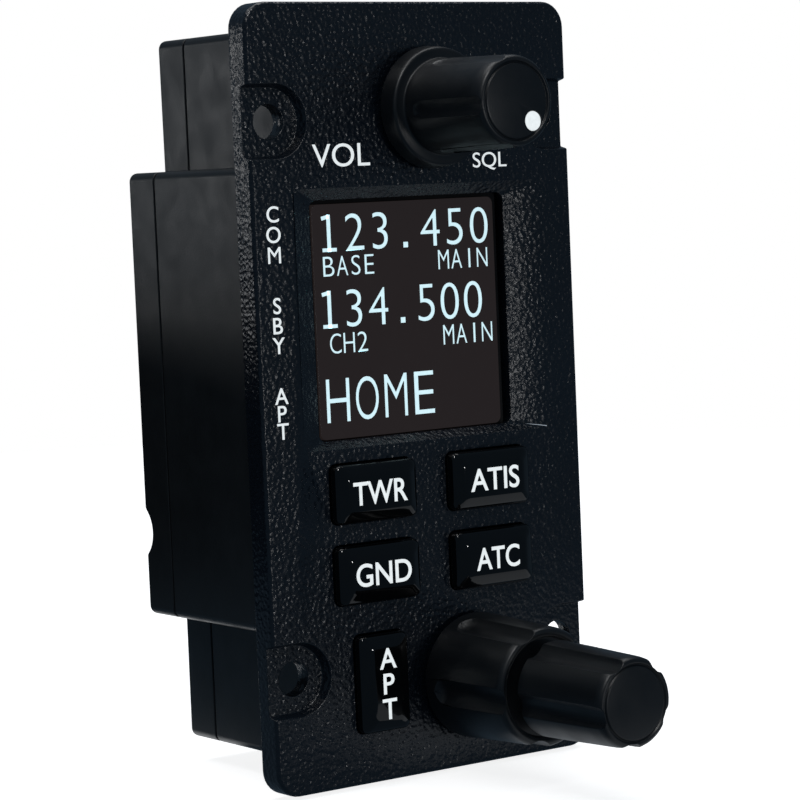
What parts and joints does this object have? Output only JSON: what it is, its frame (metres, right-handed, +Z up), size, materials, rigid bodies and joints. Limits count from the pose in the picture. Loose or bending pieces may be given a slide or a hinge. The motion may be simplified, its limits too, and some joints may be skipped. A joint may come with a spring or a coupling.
{
  "type": "panel-mounted radio control head",
  "caption": "Upright black control head for a panel-mounted aircraft radio, with a display window, glossy keys, a volume knob and concentric tuning knobs.",
  "frame": {"origin": "centre of the faceplate's back face, which rests on the instrument panel, in line with the middle of the panel cut-out", "axes": "+X to the right as the pilot sees the faceplate, +Z up, +Y into the instrument panel"},
  "size_m": [0.0456, 0.0663, 0.0902],
  "materials": {
    "textured_black": "fine orange-peel texture, near black with a blue cast",
    "case_plastic": "satin dark grey moulding",
    "knob_plastic": "satin black moulding",
    "key_gloss": "glossy black domed cap with a white legend",
    "dot_white": "white pointer dot",
    "window_glass": "dark polished display window",
    "display_black": "dark display panel",
    "rubber_black": "black foam rubber",
    "frame_plastic": "dark moulding",
    "circuit_board": "green solder mask",
    "control_body": "grey switch and encoder body",
    "steel": "plated steel",
    "black_steel": "blackened steel",
    "brass": "brass"
  },
  "bodies": {
    "housing": {"faceplate": "textured_black", "front_case": "case_plastic", "rear_cover": "case_plastic", "display_window": "window_glass", "window_seal": "rubber_black", "display_panel": "display_black", "display_holder": "frame_plastic", "front_board": "circuit_board", "rear_board": "circuit_board", "board_connector": "frame_plastic", "volume_control": "control_body", "volume_washer": "steel", "volume_nut": "steel", "tuning_control": "control_body", "tuning_washer": "steel", "tuning_nut": "steel", "connector_shell": "steel", "connector_core": "frame_plastic", "jack_post_left": "steel", "jack_post_right": "steel", "case_screw_1": "black_steel", "board_spacer_1": "brass", "case_screw_2": "black_steel", "board_spacer_2": "brass", "case_screw_3": "black_steel", "board_spacer_3": "brass", "case_screw_4": "black_steel", "board_spacer_4": "brass", "tower_switch": "control_body", "weather_switch": "control_body", "ground_switch": "control_body", "traffic_switch": "control_body", "airport_switch": "control_body"},
    "volume_slider": {"volume_plunger": "brass"},
    "volume_control_knob": {"volume_knob": "knob_plastic", "volume_dot": "dot_white", "volume_grub_screw": "black_steel", "volume_shaft": "steel"},
    "tuning_outer": {"tuning_outer_knob": "knob_plastic", "outer_grub_screw": "black_steel", "tuning_outer_shaft": "steel"},
    "tuning_slider": {"tuning_plunger": "brass"},
    "tuning_inner": {"tuning_inner_knob": "knob_plastic", "inner_grub_screw": "black_steel", "tuning_inner_shaft": "steel"},
    "tower_button": {"tower_key": "key_gloss"},
    "weather_button": {"weather_key": "key_gloss"},
    "ground_button": {"ground_key": "key_gloss"},
    "traffic_button": {"traffic_key": "key_gloss"},
    "airport_button": {"airport_key": "key_gloss"}
  },
  "joints": [
    {"name": "volume_push", "type": "slide", "parent": "housing", "child": "volume_slider", "axis": [0, 1, 0], "range_m": [0, 0.0006], "stiffness_N_per_m": 900, "springref_m": -0.0006},
    {"name": "volume_turn", "type": "hinge", "parent": "volume_slider", "child": "volume_control_knob", "pos_m": [0.0017, -0.0035, 0.0328], "axis": [0, 1, 0], "range_deg": [-285, 15]},
    {"name": "tuning_outer_turn", "type": "hinge", "parent": "housing", "child": "tuning_outer", "pos_m": [0.0049, -0.0035, -0.0341], "axis": [0, 1, 0], "continuous": true},
    {"name": "tuning_push", "type": "slide", "parent": "housing", "child": "tuning_slider", "axis": [0, 1, 0], "range_m": [0, 0.0006], "stiffness_N_per_m": 900, "springref_m": -0.0006},
    {"name": "tuning_inner_turn", "type": "hinge", "parent": "tuning_slider", "child": "tuning_inner", "pos_m": [0.0049, -0.0035, -0.0341], "axis": [0, 1, 0], "continuous": true},
    {"name": "tower_press", "type": "slide", "parent": "housing", "child": "tower_button", "axis": [0, 1, 0], "range_m": [0, 0.0006], "stiffness_N_per_m": 500, "springref_m": -0.0005},
    {"name": "weather_press", "type": "slide", "parent": "housing", "child": "weather_button", "axis": [0, 1, 0], "range_m": [0, 0.0006], "stiffness_N_per_m": 500, "springref_m": -0.0005},
    {"name": "ground_press", "type": "slide", "parent": "housing", "child": "ground_button", "axis": [0, 1, 0], "range_m": [0, 0.0006], "stiffness_N_per_m": 500, "springref_m": -0.0005},
    {"name": "traffic_press", "type": "slide", "parent": "housing", "child": "traffic_button", "axis": [0, 1, 0], "range_m": [0, 0.0006], "stiffness_N_per_m": 500, "springref_m": -0.0005},
    {"name": "airport_press", "type": "slide", "parent": "housing", "child": "airport_button", "axis": [0, 1, 0], "range_m": [0, 0.0006], "stiffness_N_per_m": 500, "springref_m": -0.0005}
  ]
}
